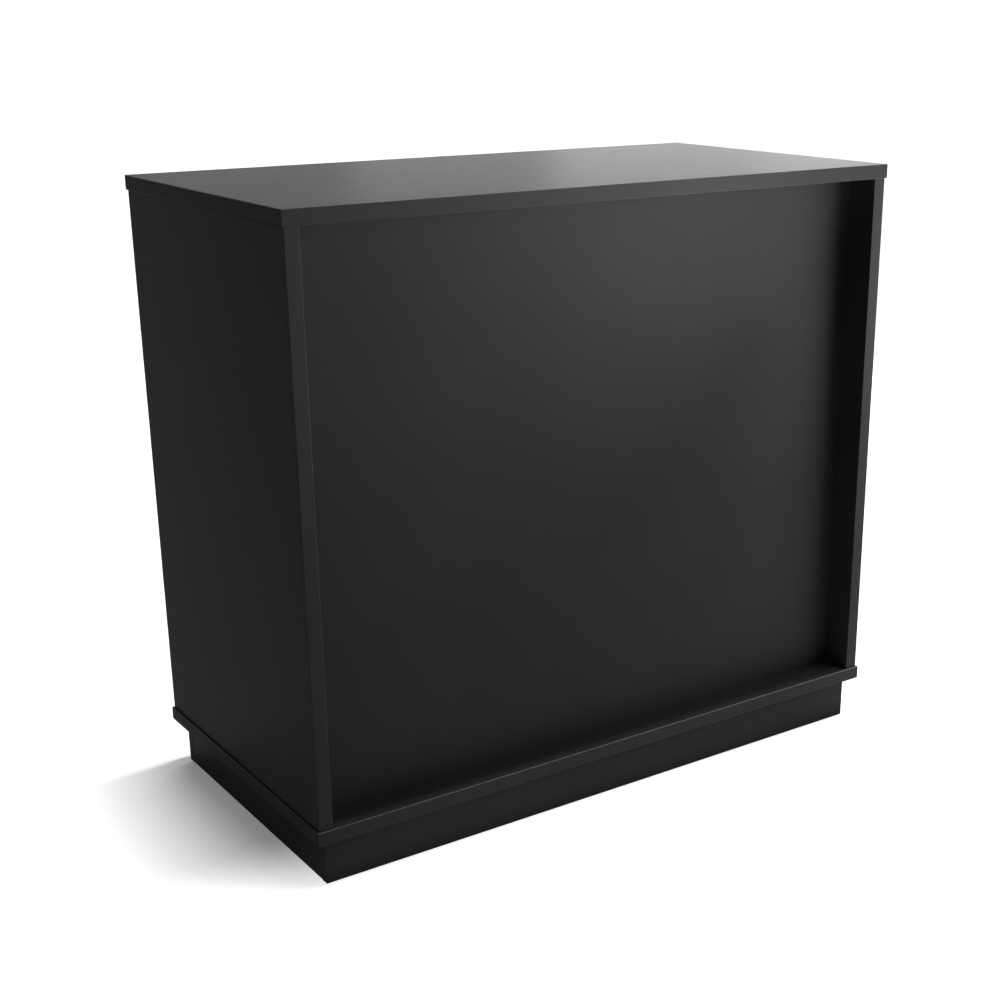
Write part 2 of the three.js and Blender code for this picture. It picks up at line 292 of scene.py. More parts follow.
# %% [markdown]
# Rim lights behind the bar grow stronger to the right and are seen as the sheen on the top. They stand on
# an arc round the camera, so that each one is mirrored in its own strip of the top.

# %% Rim lights
# The start and the step of the arc are in degrees.
RIM_WATTS = (2, 6, 14, 19, 21)
RIM_START = 24
RIM_STEP = 7
RIM_DISTANCE = 6.5
RIM_HEIGHT = 1.5
RIM_AIM = (0.2, 0.2, 1.05)

for index, watts in enumerate(RIM_WATTS):
    turn = math.radians(RIM_START + RIM_STEP * index)
    reach = RIM_DISTANCE * Vector((math.sin(turn), math.cos(turn), 0))
    rim_place = Vector((CAMERA_PLACE.x, CAMERA_PLACE.y, RIM_HEIGHT)) + reach
    softbox(f"rim_{index}", rim_place, RIM_AIM, width=0.8, height=1.0, watts=watts)
print(f"{len(RIM_WATTS)} rim lights, {sum(RIM_WATTS)} W in all")

# %% [markdown]
# ## Finishes
# A black board isn't one flat colour: its facing has a fine pearl that breaks up the light, and wide soft
# clouds where it is more or less matt. Noise at two sizes gives both. Each finish below starts from the
# same few helpers, and reads Object coordinates, so its pattern keeps the real scale and moves with its
# piece.

# %% Finish helpers: clouds
CLOUD_LOW = 0.30
CLOUD_HIGH = 0.70


def start_finish(name):
    """A new finish with its node tree, its shader and its Object coordinates."""
    finish = bpy.data.materials.new(name)
    finish.use_nodes = True
    tree = finish.node_tree
    shader = tree.nodes["Principled BSDF"]
    place = add_node(tree, "ShaderNodeTexCoord").outputs["Object"]
    return finish, tree, shader, place


def stretched(tree, place, scale):
    """Coordinates pulled out or pressed together along each axis."""
    mapping = add_node(tree, "ShaderNodeMapping", Scale=scale)
    wire(tree, place, mapping.inputs["Vector"])
    return mapping.outputs["Vector"]


def cloud(tree, place, scale, detail=2.0):
    """Noise of a size, as a value round one half."""
    noise = add_node(tree, "ShaderNodeTexNoise", Scale=scale, Detail=detail)
    wire(tree, place, noise.inputs["Vector"])
    return noise.outputs["Fac"]


def between(tree, value, low, high):
    """Spreads a cloud's middle range over two limits."""
    spread = add_node(tree, "ShaderNodeMapRange", To_Min=low, To_Max=high)
    spread.inputs["From Min"].default_value = CLOUD_LOW
    spread.inputs["From Max"].default_value = CLOUD_HIGH
    wire(tree, value, spread.inputs["Value"])
    return spread.outputs["Result"]


print(f"cloud helpers, which read clouds from {CLOUD_LOW} to {CLOUD_HIGH}")


# %% Finish helpers: colour and relief
def two_tone(dark, light):
    """Stops that run from one colour to another over a cloud's middle range."""
    return [(CLOUD_LOW, dark), (CLOUD_HIGH, light)]


def shaded(tree, value, stops):
    """Colours along a cloud, as pairs of a position and a colour."""
    ramp = add_node(tree, "ShaderNodeValToRGB")
    band = ramp.color_ramp
    while len(band.elements) < len(stops):
        band.elements.new(0.5)
    for element, (position, colour) in zip(band.elements, stops):
        element.position = position
        element.color = (*colour, 1)
    wire(tree, value, ramp.inputs["Fac"])
    return ramp.outputs["Color"]


def emboss(tree, shader, value, strength, depth):
    """Raises and sinks a surface by a cloud, depth in metres."""
    bump = add_node(tree, "ShaderNodeBump", Strength=strength, Distance=depth)
    wire(tree, value, bump.inputs["Height"])
    wire(tree, bump.outputs["Normal"], shader.inputs["Normal"])


print(f"finish helpers: {two_tone.__name__}, {shaded.__name__} and {emboss.__name__}")

# %% [markdown]
# ### Black faced board
# The boards are chipboard with a black melamine facing, so matt that it mirrors the studio only at a low
# angle, as the top shows. An IOR close to 1 does that. The edges carry a strip of black edging, a little
# paler. Every arris is painted paler again, a painted highlight along the edges, and the deck's upper arris
# is painted paler still, a painted highlight that draws a thin light line along it.

# %% Board finishes
FACING_TONES = two_tone((0.0231, 0.0231, 0.0234), (0.0251, 0.0251, 0.0254))
EDGING_TONES = two_tone((0.0275, 0.0275, 0.0279), (0.0298, 0.0298, 0.0302))
# Every arris is painted paler than its edging: a painted highlight along the edges.
ARRIS_SHEEN_TONES = two_tone((0.036, 0.036, 0.0365), (0.042, 0.042, 0.0425))
# The deck's upper arris is painted much paler: a painted highlight, the thin light line along it.
DECK_ARRIS_HIGHLIGHT_TONES = two_tone((0.082, 0.082, 0.083), (0.104, 0.104, 0.105))
FACING_IOR = 1.046
EDGING_IOR = 1.042
BOARD_CLOUD_SCALE = 5.0
STREAK_STRETCH = (9.0, 9.0, 1.5)
STREAK_SCALE = 3.0
GLOSS_SWING = 0.01
PEARL_SCALE = 1500.0
PEARL_DEPTH = 0.00004


def black_finish(name, tones, ior, matt, pearl):
    """A black board surface: clouds in its colour and gloss, and a fine pearl in its relief."""
    finish, tree, shader, place = start_finish(name)
    wide = cloud(tree, place, BOARD_CLOUD_SCALE, detail=3.0)
    wire(tree, shaded(tree, wide, tones), shader.inputs["Base Color"])
    streaks = cloud(tree, stretched(tree, place, STREAK_STRETCH), STREAK_SCALE, detail=4.0)
    wire(tree, between(tree, streaks, matt - GLOSS_SWING, matt + GLOSS_SWING), shader.inputs["Roughness"])
    emboss(tree, shader, cloud(tree, place, PEARL_SCALE), pearl, PEARL_DEPTH)
    shader.inputs["IOR"].default_value = ior
    return finish


FACED = black_finish("black_facing", FACING_TONES, FACING_IOR, matt=0.40, pearl=0.02)
EDGED = black_finish("black_edging", EDGING_TONES, EDGING_IOR, matt=0.40, pearl=0.03)
ARRIS_SHEEN = black_finish("painted_arris_sheen", ARRIS_SHEEN_TONES, EDGING_IOR, matt=0.36, pearl=0.03)
DECK_ARRIS_HIGHLIGHT = black_finish("painted_deck_arris_highlight", DECK_ARRIS_HIGHLIGHT_TONES, EDGING_IOR, matt=0.36, pearl=0.03)
print(f"board finishes: {FACED.name}, {EDGED.name}, {ARRIS_SHEEN.name}, {DECK_ARRIS_HIGHLIGHT.name}")

# %% [markdown]
# Where a board is drilled, its core shows: pressed chips of three browns, rough and raised. One cloud,
# pressed flat as the chips are, drives the colour, the roughness and the relief together.

# %% Chipboard core
CHIP_STOPS = [(0.30, (0.13, 0.075, 0.036)), (0.48, (0.29, 0.185, 0.095)), (0.66, (0.46, 0.33, 0.19))]
CHIP_STRETCH = (1.0, 1.0, 2.2)
CHIP_SCALE = 420.0
CHIP_ROUGHNESS = (0.95, 0.75)
CHIP_RELIEF = 0.5
CHIP_DEPTH = 0.0003

CORE, tree, shader, place = start_finish("chipboard_core")
chips = cloud(tree, stretched(tree, place, CHIP_STRETCH), CHIP_SCALE, detail=4.0)
wire(tree, shaded(tree, chips, CHIP_STOPS), shader.inputs["Base Color"])
wire(tree, between(tree, chips, *CHIP_ROUGHNESS), shader.inputs["Roughness"])
emboss(tree, shader, chips, CHIP_RELIEF, CHIP_DEPTH)
print(f"core finish: {CORE.name}")

# %% [markdown]
# ### Raw wood and beech
# Inside the plinth nothing shows, so its rail and corner blocks are left as planed softwood. The dowels
# are beech. Grain is noise stretched along the wood: long and soft for the softwood, short dark flecks
# for the beech.

# %% Wood finishes
SOFTWOOD_STOPS = [(0.34, (0.40, 0.245, 0.115)), (0.50, (0.60, 0.42, 0.225)), (0.64, (0.68, 0.50, 0.30))]
BEECH_STOPS = [(0.32, (0.36, 0.20, 0.095)), (0.46, (0.55, 0.355, 0.195)), (0.68, (0.64, 0.44, 0.26))]
RAIL_GRAIN = (14.0, 0.8, 14.0)
BLOCK_GRAIN = (14.0, 14.0, 0.8)
DOWEL_GRAIN = (16.0, 16.0, 1.2)
SOFTWOOD_SCALE = 9.0
BEECH_SCALE = 90.0
GRAIN_SWING = 0.06
GRAIN_RELIEF = 0.35
GRAIN_DEPTH = 0.00015


def wood_finish(name, stops, stretch, scale, matt):
    """Planed wood with its grain along the axis that is stretched least."""
    finish, tree, shader, place = start_finish(name)
    grain = cloud(tree, stretched(tree, place, stretch), scale, detail=5.0)
    wire(tree, shaded(tree, grain, stops), shader.inputs["Base Color"])
    wire(tree, between(tree, grain, matt + GRAIN_SWING, matt - GRAIN_SWING), shader.inputs["Roughness"])
    emboss(tree, shader, grain, GRAIN_RELIEF, GRAIN_DEPTH)
    return finish


RAIL_WOOD = wood_finish("softwood_rail", SOFTWOOD_STOPS, RAIL_GRAIN, SOFTWOOD_SCALE, matt=0.62)
BLOCK_WOOD = wood_finish("softwood_block", SOFTWOOD_STOPS, BLOCK_GRAIN, SOFTWOOD_SCALE, matt=0.62)
BEECH = wood_finish("beech_dowel", BEECH_STOPS, DOWEL_GRAIN, BEECH_SCALE, matt=0.50)
print(f"wood finishes: {RAIL_WOOD.name}, {BLOCK_WOOD.name}, {BEECH.name}")

# %% [markdown]
# ### Plated metal and nylon
# Hinges and strike plates are zinc-plated steel: grey, with rolling marks along the sheet and a slightly
# cloudy gloss. The pins are plain drawn steel, and the screws have the yellow zinc of common chipboard
# screws. The magnets are nickel-plated and smoother. The glides are black moulded nylon.

# %% Metal finishes
ZINC_TONES = two_tone((0.27, 0.28, 0.29), (0.36, 0.37, 0.38))
PIN_TONES = two_tone((0.32, 0.32, 0.33), (0.40, 0.40, 0.40))
SCREW_TONES = two_tone((0.36, 0.29, 0.15), (0.46, 0.38, 0.21))
NICKEL_TONES = two_tone((0.60, 0.57, 0.52), (0.71, 0.68, 0.63))
ROLLED_MARKS = (8.0, 8.0, 0.4)
EVEN_MARKS = (3.0, 3.0, 3.0)
COAT_SCALE = 140.0
MARK_SCALE = 160.0
MARK_RELIEF = 0.12
MARK_DEPTH = 0.00005


def plated_finish(name, tones, marks, smooth, rough):
    """Plated steel: a cloudy coat, and rolling marks along the axis that is stretched least."""
    finish, tree, shader, place = start_finish(name)
    coat = cloud(tree, place, COAT_SCALE, detail=3.0)
    wire(tree, shaded(tree, coat, tones), shader.inputs["Base Color"])
    rolled = cloud(tree, stretched(tree, place, marks), MARK_SCALE, detail=3.0)
    wire(tree, between(tree, rolled, smooth, rough), shader.inputs["Roughness"])
    emboss(tree, shader, rolled, MARK_RELIEF, MARK_DEPTH)
    shader.inputs["Metallic"].default_value = 1.0
    return finish


ZINC = plated_finish("zinc_plate", ZINC_TONES, ROLLED_MARKS, smooth=0.30, rough=0.42)
PIN_STEEL = plated_finish("drawn_steel", PIN_TONES, ROLLED_MARKS, smooth=0.22, rough=0.32)
SCREW_STEEL = plated_finish("yellow_zinc_screw", SCREW_TONES, EVEN_MARKS, smooth=0.26, rough=0.40)
NICKEL = plated_finish("nickel_plate", NICKEL_TONES, EVEN_MARKS, smooth=0.14, rough=0.24)
print(f"metal finishes: {ZINC.name}, {PIN_STEEL.name}, {SCREW_STEEL.name}, {NICKEL.name}")

# %% Nylon finish
NYLON_TONES = two_tone((0.011, 0.011, 0.012), (0.016, 0.016, 0.017))
NYLON_CLOUD_SCALE = 60.0
NYLON_GLOSS_SCALE = 300.0
NYLON_ROUGHNESS = (0.42, 0.54)
MOULD_SCALE = 2500.0
MOULD_RELIEF = 0.2
MOULD_DEPTH = 0.00003

NYLON, tree, shader, place = start_finish("moulded_nylon")
dye = cloud(tree, place, NYLON_CLOUD_SCALE)
wire(tree, shaded(tree, dye, NYLON_TONES), shader.inputs["Base Color"])
gloss = cloud(tree, place, NYLON_GLOSS_SCALE)
wire(tree, between(tree, gloss, *NYLON_ROUGHNESS), shader.inputs["Roughness"])
emboss(tree, shader, cloud(tree, place, MOULD_SCALE), MOULD_RELIEF, MOULD_DEPTH)
print(f"nylon finish: {NYLON.name}")

# %% [markdown]
# ## Pieces
# Each piece is a mesh of its own that stands for one or more CAD nodes, rides on the same body and takes
# the node's place exactly. These helpers make a piece from a bmesh and bake its modifiers into a plain
# mesh. Weighted normals keep large faces flat and let the light roll over small bevels.

# %% Piece helpers
MERGE = 1e-6
SHARP_BEND = math.radians(50)


def settle(piece):
    """Bakes a piece's modifiers into a plain mesh and takes the modifiers off."""
    graph = bpy.context.evaluated_depsgraph_get()
    evaluated = piece.evaluated_get(graph)
    plain = bpy.data.meshes.new_from_object(evaluated, preserve_all_data_layers=True, depsgraph=graph)
    loose = piece.data
    piece.modifiers.clear()
    piece.data = plain
    bpy.data.meshes.remove(loose)
    plain.name = piece.name
    return piece


def add_piece(name, work, finishes):
    """A new object from a bmesh: large faces look flat, small bends look round, strong bends look sharp."""
    mesh = bpy.data.meshes.new(name)
    work.to_mesh(mesh)
    work.free()
    for polygon in mesh.polygons:
        polygon.use_smooth = True
    mesh.set_sharp_from_angle(angle=SHARP_BEND)
    for finish in finishes:
        mesh.materials.append(finish)
    piece = bpy.data.objects.new(name, mesh)
    bpy.context.scene.collection.objects.link(piece)
    soften = piece.modifiers.new("soften", "WEIGHTED_NORMAL")
    soften.keep_sharp = True
    return settle(piece)


def stand_for(piece, body, slot, *names):
    """Lets a piece ride on a body in the place of CAD nodes."""
    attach(piece, body)
    if names:
        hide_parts(*names)
    return piece


print(f"piece helpers, with sharp edges where a surface bends {math.degrees(SHARP_BEND):.0f} degrees")

# %% [markdown]
# ### Boards
# A board is a slab of chipboard with a facing on both sides, edging all round and bare chips in its
# drilled holes. The CAD mesh already has the slab, its holes and its eased edges, as loose triangles, so
# a copy is merged, and each face gets its finish from where it lies: on a wide face, on an edge, on the
# arris or in a hole.

# %% Board surfaces
BOARD_FINISHES = [FACED, EDGED, ARRIS_SHEEN, DECK_ARRIS_HIGHLIGHT, CORE]
ON_FACE, ON_EDGE, ON_ARRIS, ON_HIGHLIGHT, IN_HOLE = range(5)
SKIN = 0.0001
ARRIS_REACH = 0.0014
SQUARE_ON = 0.995


def board_surface(face, low, high, thin, highlighted):
    """Tells on which part of a board a face lies."""
    axis = max(range(3), key=lambda index: abs(face.normal[index]))
    centre = face.calc_center_median()
    depths = [min(centre[index] - low[index], high[index] - centre[index]) for index in range(3)]
    if abs(face.normal[axis]) > SQUARE_ON:
        if depths[axis] > SKIN:
            return IN_HOLE
        return ON_FACE if axis == thin else ON_EDGE
    if sum(depth < ARRIS_REACH for depth in depths) < 2:
        return IN_HOLE
    # The deck's upward arris faces take the painted highlight; every other arris takes the paler painted
    # arris.
    return ON_HIGHLIGHT if highlighted and face.normal.z > 0 else ON_ARRIS


print(f"{len(BOARD_FINISHES)} finishes for the surfaces of a board")

# %% Boards
BOARD_BODIES = {
    "deck_panel": "base",
    "plinth_front_board": "base",
    "plinth_rear_board": "base",
    "plinth_left_board": "base",
    "plinth_right_board": "base",
    "front_panel": "front",
    "left_side_panel": "left_side",
    "right_side_panel": "right_side",
    "counter_top": "counter",
}
# The board whose upper arris carries the painted highlight.
HIGHLIGHT_BOARD = "deck_panel"
SAME_PLANE = math.radians(0.5)


def dress_board(name, body):
    """A merged copy of a CAD board with a finish for each part of it."""
    low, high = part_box(name)
    thin = min(range(3), key=lambda index: high[index] - low[index])
    work = bmesh.new()
    work.from_mesh(nodes[name].data)
    bmesh.ops.remove_doubles(work, verts=work.verts, dist=MERGE)
    bmesh.ops.dissolve_limit(work, angle_limit=SAME_PLANE, verts=work.verts, edges=work.edges)
    work.normal_update()
    for face in work.faces:
        face.material_index = board_surface(face, low, high, thin, name == HIGHLIGHT_BOARD)
    return stand_for(add_piece("dressed_" + name, work, BOARD_FINISHES), body, "black_board", name)


for name, body in BOARD_BODIES.items():
    board = dress_board(name, body)
    kinds = [polygon.material_index for polygon in board.data.polygons]
    counts = [kinds.count(kind) for kind in range(len(BOARD_FINISHES))]
    print(f"{name}: {counts} faces on face, edge, arris, rubbed arris and in holes")

# %% [markdown]
# ### Rail and corner blocks
# The plinth's middle rail and its glue blocks are plain pieces of softwood. Their CAD shape is right as
# it is, so the nodes stay and only get their finish.

# %% Rail and corner blocks
ENDS = {"front": -1, "rear": 1}
SIDES = {"left": -1, "right": 1}
CORNERS = {f"{end}_{side}": (SIDES[side], ENDS[end]) for end in ENDS for side in SIDES}


def refinish(name, finish):
    """Gives a CAD node a new finish."""
    nodes[name].data.materials.clear()
    nodes[name].data.materials.append(finish)


refinish("plinth_mid_rail", RAIL_WOOD)
for corner in CORNERS:
    refinish("corner_block_" + corner, BLOCK_WOOD)
print(f"softwood on the middle rail and {len(CORNERS)} corner blocks")

# %% [markdown]
# ### Hinge leaves
# A butt hinge is two stamped leaves whose ends are rolled round a pin: the fixed leaf has three knuckles,
# the moving leaf two. It could be a plate with tubes, but a real knuckle is one sheet that curls and
# stops short of the plate. So its section is drawn as that curl and pulled along the pin. The countersunk
# holes are cut with a Boolean, and a fine bevel takes the sharpness off the stamping.

# %% Hinge leaf outlines
LEAF_LENGTH = 0.100
LEAF_REACH = 0.034
LEAF_SHEET = 0.002
LEAF_CORNER = 0.004
KNUCKLE_RADIUS = 0.0045
KNUCKLE_GAP = 0.0004
KNUCKLE_COUNT = 5
BORE_RADIUS = 0.00262
CURL_START = math.radians(-90)
CURL_END = math.radians(-382)
CURL_STEPS = 44
CORNER_STEPS = 8
PLATE_START = KNUCKLE_RADIUS + KNUCKLE_GAP
PLATE_MIDDLE = (PLATE_START + LEAF_REACH) / 2
LEAF_FACE = LEAF_SHEET - KNUCKLE_RADIUS
TAIL_LAP = 0.002
TAIL_END = PLATE_START + TAIL_LAP
TAIL_SUNK = 0.00004


def curl_outline():
    """The section of a knuckle: a strip of the plate that curls round the pin and stops short of itself."""
    sweep = CURL_END - CURL_START
    turns = [CURL_START + sweep * step / CURL_STEPS for step in range(CURL_STEPS + 1)]
    outside = [(KNUCKLE_RADIUS * math.cos(turn), KNUCKLE_RADIUS * math.sin(turn)) for turn in turns]
    inside = [(BORE_RADIUS * math.cos(turn), BORE_RADIUS * math.sin(turn)) for turn in reversed(turns)]
    tail = [(TAIL_END, LEAF_FACE - TAIL_SUNK), (TAIL_END, TAIL_SUNK - KNUCKLE_RADIUS)]
    return outside + inside + tail


def plate_outline():
    """The plate of a leaf, in reach and length, with its two free corners rounded."""
    half = LEAF_LENGTH / 2
    points = [(PLATE_START, -half)]
    for middle, first in ((LEAF_CORNER - half, -90), (half - LEAF_CORNER, 0)):
        for step in range(CORNER_STEPS + 1):
            turn = math.radians(first + 90 * step / CORNER_STEPS)
            reach = LEAF_REACH - LEAF_CORNER + LEAF_CORNER * math.cos(turn)
            points.append((reach, middle + LEAF_CORNER * math.sin(turn)))
    return points + [(PLATE_START, half)]


print(f"a knuckle of {len(curl_outline())} points and a plate of {len(plate_outline())}")

# %% [markdown]
# Two helpers turn outlines into solids, and serve all the hardware: one pulls an outline straight along
# an axis, the other turns a profile round it, as a lathe does.

# %% Pulled and turned shapes
TURNED_SIDES = 48


def pull(work, outline, start, end):
    """Adds a closed prism to a bmesh: an outline in X and Y, pulled along Z."""
    foot, crown = [[work.verts.new((x, y, z)) for x, y in outline] for z in (start, end)]
    work.faces.new(list(reversed(foot)))
    work.faces.new(crown)
    for index in range(len(outline)):
        after = (index + 1) % len(outline)
        work.faces.new((foot[index], foot[after], crown[after], crown[index]))


def turn_shape(work, profile, matrix, sides=TURNED_SIDES, flutes=0, flute_depth=0.0):
    """Adds a turned shape to a bmesh: pairs of radius and height from its foot up, with flutes along it."""
    rings = []
    for radius, height in profile:
        if radius == 0:
            rings.append([work.verts.new(matrix @ Vector((0, 0, height)))])
            continue
        ring = []
        for side in range(sides):
            turn = 2 * math.pi * side / sides
            dip = radius - flute_depth * (0.5 - 0.5 * math.cos(flutes * turn))
            point = Vector((dip * math.cos(turn), dip * math.sin(turn), height))
            ring.append(work.verts.new(matrix @ point))
        rings.append(ring)
    for foot, crown in zip(rings, rings[1:]):
        for side in range(sides):
            after = (side + 1) % sides
            if len(foot) == 1:
                work.faces.new((foot[0], crown[after], crown[side]))
            elif len(crown) == 1:
                work.faces.new((foot[side], foot[after], crown[0]))
            else:
                work.faces.new((foot[side], foot[after], crown[after], crown[side]))


print(f"shape helpers: {pull.__name__}, and {turn_shape.__name__} with {TURNED_SIDES} sides")

# %% [markdown]
# A leaf is made once for each kind, round its own axis: the plate is pulled, drilled with three cones and
# given its knuckles, and then every sharp edge is beveled. The leaves in the bar are copies of the two.

# %% Hinge leaf plate and holes
SCREW_SPACING = 0.036
SCREW_ROW = (-SCREW_SPACING, 0, SCREW_SPACING)
COUNTERSINK_RADIUS = 0.00425
CUT_OVER = 0.0005
LAID_BACK = Matrix.Rotation(math.radians(-90), 4, "X")


def leaf_plate(name):
    """The plate of a leaf, before it is drilled."""
    plate = bmesh.new()
    flat = [(x, -z) for x, z in reversed(plate_outline())]
    pull(plate, flat, -KNUCKLE_RADIUS, LEAF_FACE)
    bmesh.ops.transform(plate, matrix=LAID_BACK, verts=plate.verts)
    bmesh.ops.recalc_face_normals(plate, faces=plate.faces)
    return add_piece(name, plate, [ZINC])


def leaf_holes(name):
    """The three cones that are cut out of a plate."""
    cutter = bmesh.new()
    tip = COUNTERSINK_RADIUS - LEAF_SHEET - CUT_OVER
    top = LEAF_SHEET + CUT_OVER
    cone = [(0, -CUT_OVER), (tip, -CUT_OVER), (COUNTERSINK_RADIUS + CUT_OVER, top), (0, top)]
    for z in SCREW_ROW:
        spot = Matrix.Translation((PLATE_MIDDLE, -KNUCKLE_RADIUS, z))
        turn_shape(cutter, cone, spot @ LAID_BACK)
    bmesh.ops.recalc_face_normals(cutter, faces=cutter.faces)
    return add_piece(name, cutter, [ZINC])


print(f"{len(SCREW_ROW)} countersunk holes in a leaf, {1000 * SCREW_SPACING:.0f} mm apart")

# %% Hinge leaf patterns
STAMPED_ARRIS = 0.00018


def leaf_pattern(name, knuckles):
    """A hinge leaf round its own axis, along +X, with its board towards -Y."""
    leaf = leaf_plate(name)
    holes = leaf_holes(name + "_holes")
    drill = leaf.modifiers.new("drill", "BOOLEAN")
    drill.operation = "DIFFERENCE"
    drill.solver = "EXACT"
    drill.object = holes
    settle(leaf)
    bpy.data.objects.remove(holes)
    work = bmesh.new()
    work.from_mesh(leaf.data)
    bpy.data.objects.remove(leaf)
    pitch = LEAF_LENGTH / KNUCKLE_COUNT
    for index in knuckles:
        start = index * pitch - LEAF_LENGTH / 2 + KNUCKLE_GAP / 2
        pull(work, curl_outline(), start, start + pitch - KNUCKLE_GAP)
    bmesh.ops.recalc_face_normals(work, faces=work.faces)
    work.normal_update()
    stamped = [edge for edge in work.edges if edge.is_manifold and edge.calc_face_angle() > SHARP_BEND]
    bmesh.ops.bevel(work, geom=stamped, offset=STAMPED_ARRIS, segments=2, affect="EDGES", clamp_overlap=True)
    return work


FIXED_LEAF = leaf_pattern("fixed_leaf", (0, 2, 4))
MOVING_LEAF = leaf_pattern("moving_leaf", (1, 3))
print(f"leaf patterns: fixed {len(FIXED_LEAF.faces)} faces, moving {len(MOVING_LEAF.faces)} faces")

# %% [markdown]
# ### Hinges in place
# Each hinge stands in the inside corner between the front panel and a side. Its leaf's own axes are set
# by two directions: along the board away from the pin, and straight off the board. The third follows from
# them, so that a leaf is only turned and never mirrored.

# %% Hinges in place
LEVELS = ("lower", "middle", "upper")


def hinge_axis(side, level):
    """The middle of a hinge's pin."""
    low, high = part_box(f"{side}_hinge_{level}_pin")
    return (low + high) / 2


def leaf_frame(side, level, moving):
    """The matrix that puts a leaf pattern on its board."""
    inward = Vector((-SIDES[side], 0, 0))
    rearward = Vector((0, 1, 0))
    along, off = (rearward, inward) if moving else (inward, rearward)
    turned = Matrix((along, off, along.cross(off))).transposed().to_4x4()
    return Matrix.Translation(hinge_axis(side, level)) @ turned


for side in SIDES:
    for level in LEVELS:
        leaves = (("fixed", FIXED_LEAF, "front"), ("moving", MOVING_LEAF, f"{side}_side"))
        for kind, pattern, body in leaves:
            name = f"{side}_hinge_{level}_{kind}_leaf"
            work = pattern.copy()
            bmesh.ops.transform(work, matrix=leaf_frame(side, level, kind == "moving"), verts=work.verts)
            stand_for(add_piece("rolled_" + name, work, [ZINC]), body, "hinge_steel", name)
FIXED_LEAF.free()
MOVING_LEAF.free()
print(f"{2 * len(SIDES) * len(LEVELS)} leaves on their boards")

# %% [markdown]
# ### Hinge pins
# The pin is drawn wire, peened over at both ends into a small button. It is a turned shape, so a profile
# of radius and height is enough, with the button's crown as a few points of a curve.

# %% Hinge pins
PIN_RADIUS = 0.0025
PIN_SIDES = 32
BUTTON_RADIUS = 0.0035
BUTTON_RISE = 0.0016
BUTTON_CURVE = [
    (0.0, 1.0), (0.45, 0.955), (0.75, 0.80), (0.93, 0.55), (1.0, 0.28), (0.97, 0.06), (0.90, 0.0),
]


def pin_profile(half):
    """A pin's profile about its middle, from half its length: button, shaft, button."""
    neck = half - BUTTON_RISE
    crown = [(BUTTON_RADIUS * radius, neck + BUTTON_RISE * height) for radius, height in BUTTON_CURVE]
    foot = [(radius, -height) for radius, height in crown]
    return foot + [(PIN_RADIUS, -neck), (PIN_RADIUS, neck)] + list(reversed(crown))


for side in SIDES:
    for level in LEVELS:
        name = f"{side}_hinge_{level}_pin"
        low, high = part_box(name)
        work = bmesh.new()
        spot = Matrix.Translation((low + high) / 2)
        turn_shape(work, pin_profile((high.z - low.z) / 2), spot, PIN_SIDES)
        bmesh.ops.recalc_face_normals(work, faces=work.faces)
        stand_for(add_piece("peened_" + name, work, [PIN_STEEL]), "front", "pin_steel", name)
print(f"{len(SIDES) * len(LEVELS)} pins, {high.z - low.z:.4f} m long")

# %% [markdown]
# ### Screws
# A screw is the same shape many times over, which is what Geometry Nodes are for. The tree takes points
# that know which way their screw faces, makes one head with a cross recess, and sets a copy on each point
# with its own turn about its axis, because no two screws stop at the same angle. Countersunk and pan
# heads differ only in the inputs: a wide crown on a narrow foot, or the other way round.


# %% Screw tree helpers
def scaled(tree, value, factor):
    """A size times a fixed factor."""
    node = add_node(tree, "ShaderNodeMath")
    node.operation = "MULTIPLY"
    node.inputs[1].default_value = factor
    wire(tree, value, node.inputs[0])
    return node.outputs["Value"]


def vector_of(tree, **parts):
    """A vector from sizes wired to some of its axes."""
    node = add_node(tree, "ShaderNodeCombineXYZ")
    for axis, value in parts.items():
        wire(tree, value, node.inputs[axis])
    return node.outputs["Vector"]


def raised(tree, mesh, height):
    """A mesh moved up by a size."""
    node = add_node(tree, "GeometryNodeTransform")
    wire(tree, mesh, node.inputs["Geometry"])
    wire(tree, vector_of(tree, Z=height), node.inputs["Translation"])
    return node.outputs["Geometry"]


def recess_arm(tree, long_side, short_side, depth, height):
    """One bar of the cross recess, centred on the crown."""
    bar = add_node(tree, "GeometryNodeMeshCube")
    size = vector_of(tree, X=long_side, Y=short_side, Z=scaled(tree, depth, 2.0))
    wire(tree, size, bar.inputs["Size"])
    return raised(tree, bar.outputs["Mesh"], height)


print(f"screw helpers: {scaled.__name__}, {vector_of.__name__}, {raised.__name__}, {recess_arm.__name__}")

# %% Screw head and turn
RECESS_LABELS = ("Recess length", "Recess width", "Recess depth")
SCREW_SIDES = 32
FULL_TURN = 2 * math.pi
RANDOM_FLOAT_MAX = 3
RANDOM_FLOAT_VALUE = 1


def screw_head(tree, given):
    """A cone with a cross cut into its crown, sunk below the point it stands on."""
    head = add_node(tree, "GeometryNodeMeshCone", Vertices=SCREW_SIDES)
    wire(tree, scaled(tree, given["Crown diameter"], 0.5), head.inputs["Radius Top"])
    wire(tree, scaled(tree, given["Foot diameter"], 0.5), head.inputs["Radius Bottom"])
    wire(tree, given["Head height"], head.inputs["Depth"])
    long_side, short_side, depth = (given[label] for label in RECESS_LABELS)
    cut = add_node(tree, "GeometryNodeMeshBoolean")
    cut.operation = "DIFFERENCE"
    wire(tree, head.outputs["Mesh"], cut.inputs["Mesh 1"])
    for first, second in ((long_side, short_side), (short_side, long_side)):
        wire(tree, recess_arm(tree, first, second, depth, given["Head height"]), cut.inputs["Mesh 2"])
    return raised(tree, cut.outputs["Mesh"], scaled(tree, given["Sink"], -1.0))


